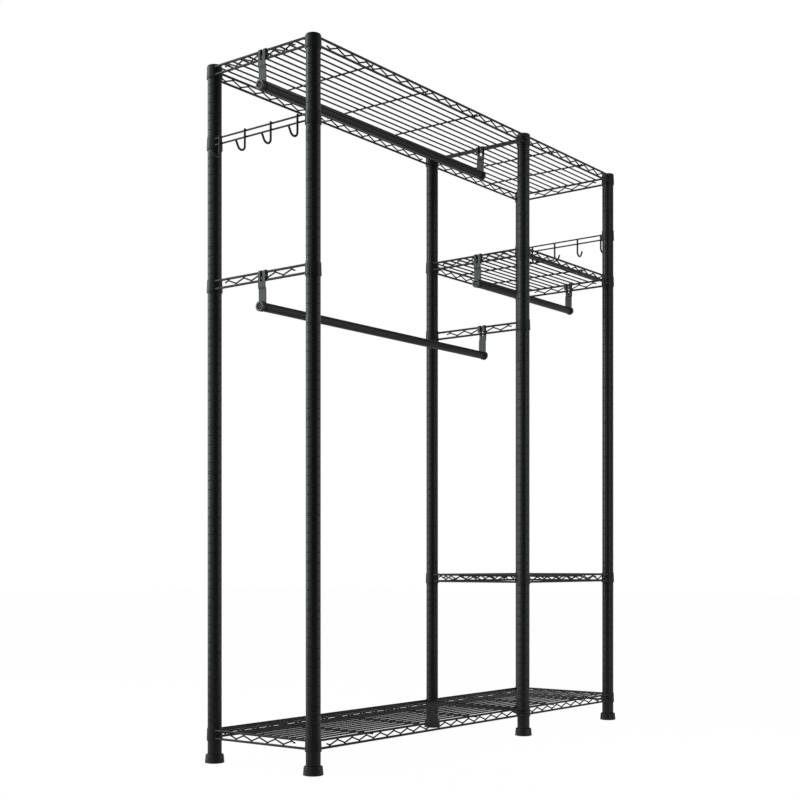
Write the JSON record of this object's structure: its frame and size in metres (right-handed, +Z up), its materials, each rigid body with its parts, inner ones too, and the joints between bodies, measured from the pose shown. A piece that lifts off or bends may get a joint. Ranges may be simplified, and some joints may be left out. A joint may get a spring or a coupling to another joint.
{
  "type": "open frame wardrobe",
  "caption": "Free-standing black wire rack wardrobe: grooved round posts carry wire shelves, hanging rods, truss side rails and hook rails for clothes.",
  "frame": {"origin": "on the floor, at the middle of the rack's width and depth", "axes": "+Z up, +X to the right seen from the front, the front faces -Y"},
  "size_m": [1.7204, 0.4254, 1.969],
  "materials": {
    "post_coat": "satin black powder coat",
    "wire_coat": "satin black powder coat on wire",
    "rod_coat": "satin black powder coat",
    "bracket_coat": "satin black powder coat on strip",
    "foot_plastic": "fine moulded black",
    "sleeve_plastic": "smooth moulded black",
    "cap_plastic": "smooth moulded black",
    "disc_plastic": "satin moulded black",
    "insert_plastic": "moulded nylon",
    "stud_steel": "zinc plated",
    "screw_steel": "black oxide"
  },
  "bodies": {
    "frame": {"lower_post_front_left": "post_coat", "upper_post_front_left": "post_coat", "lower_post_front_mid": "post_coat", "upper_post_front_mid": "post_coat", "lower_post_front_right": "post_coat", "upper_post_front_right": "post_coat", "lower_post_back_left": "post_coat", "upper_post_back_left": "post_coat", "lower_post_back_mid": "post_coat", "upper_post_back_mid": "post_coat", "lower_post_back_right": "post_coat", "upper_post_back_right": "post_coat", "post_top_caps": "cap_plastic", "threaded_inserts": "insert_plastic", "post_joint_studs": "stud_steel", "split_sleeves": "sleeve_plastic", "top_shelf_frame": "wire_coat", "top_shelf_deck": "wire_coat", "bottom_shelf_frame": "wire_coat", "bottom_shelf_deck": "wire_coat", "right_upper_shelf_frame": "wire_coat", "right_upper_shelf_deck": "wire_coat", "right_lower_shelf_frame": "wire_coat", "right_lower_shelf_deck": "wire_coat", "left_side_rail": "wire_coat", "mid_side_rail": "wire_coat", "left_hook_rail": "wire_coat", "right_hook_rail": "wire_coat", "left_hooks": "wire_coat", "right_hooks": "wire_coat"},
    "upper_rod_set": {"upper_rod": "rod_coat", "upper_rod_plugs": "insert_plastic", "upper_rod_left_bracket": "bracket_coat", "upper_rod_right_bracket": "bracket_coat", "upper_rod_end_discs": "disc_plastic", "upper_rod_screws": "screw_steel"},
    "lower_rod_set": {"lower_rod": "rod_coat", "lower_rod_plugs": "insert_plastic", "lower_rod_left_bracket": "bracket_coat", "lower_rod_right_bracket": "bracket_coat", "lower_rod_end_discs": "disc_plastic", "lower_rod_screws": "screw_steel"},
    "right_rod_set": {"right_rod": "rod_coat", "right_rod_plugs": "insert_plastic", "right_rod_left_bracket": "bracket_coat", "right_rod_right_bracket": "bracket_coat", "right_rod_end_discs": "disc_plastic", "right_rod_screws": "screw_steel"},
    "levelling_foot_front_left": {"foot_front_left": "foot_plastic", "foot_stud_front_left": "stud_steel"},
    "levelling_foot_front_mid": {"foot_front_mid": "foot_plastic", "foot_stud_front_mid": "stud_steel"},
    "levelling_foot_front_right": {"foot_front_right": "foot_plastic", "foot_stud_front_right": "stud_steel"},
    "levelling_foot_back_left": {"foot_back_left": "foot_plastic", "foot_stud_back_left": "stud_steel"},
    "levelling_foot_back_mid": {"foot_back_mid": "foot_plastic", "foot_stud_back_mid": "stud_steel"},
    "levelling_foot_back_right": {"foot_back_right": "foot_plastic", "foot_stud_back_right": "stud_steel"}
  },
  "joints": [
    {"name": "upper_rod_lift", "type": "slide", "parent": "frame", "child": "upper_rod_set", "axis": [0, 0, 1], "range_m": [0, 0.012]},
    {"name": "lower_rod_lift", "type": "slide", "parent": "frame", "child": "lower_rod_set", "axis": [0, 0, 1], "range_m": [0, 0.012]},
    {"name": "right_rod_lift", "type": "slide", "parent": "frame", "child": "right_rod_set", "axis": [0, 0, 1], "range_m": [0, 0.012]},
    {"name": "foot_front_left_level", "type": "slide", "parent": "frame", "child": "levelling_foot_front_left", "axis": [0, 0, 1], "range_m": [-0.012, 0]},
    {"name": "foot_front_mid_level", "type": "slide", "parent": "frame", "child": "levelling_foot_front_mid", "axis": [0, 0, 1], "range_m": [-0.012, 0]},
    {"name": "foot_front_right_level", "type": "slide", "parent": "frame", "child": "levelling_foot_front_right", "axis": [0, 0, 1], "range_m": [-0.012, 0]},
    {"name": "foot_back_left_level", "type": "slide", "parent": "frame", "child": "levelling_foot_back_left", "axis": [0, 0, 1], "range_m": [-0.012, 0]},
    {"name": "foot_back_mid_level", "type": "slide", "parent": "frame", "child": "levelling_foot_back_mid", "axis": [0, 0, 1], "range_m": [-0.012, 0]},
    {"name": "foot_back_right_level", "type": "slide", "parent": "frame", "child": "levelling_foot_back_right", "axis": [0, 0, 1], "range_m": [-0.012, 0]}
  ]
}
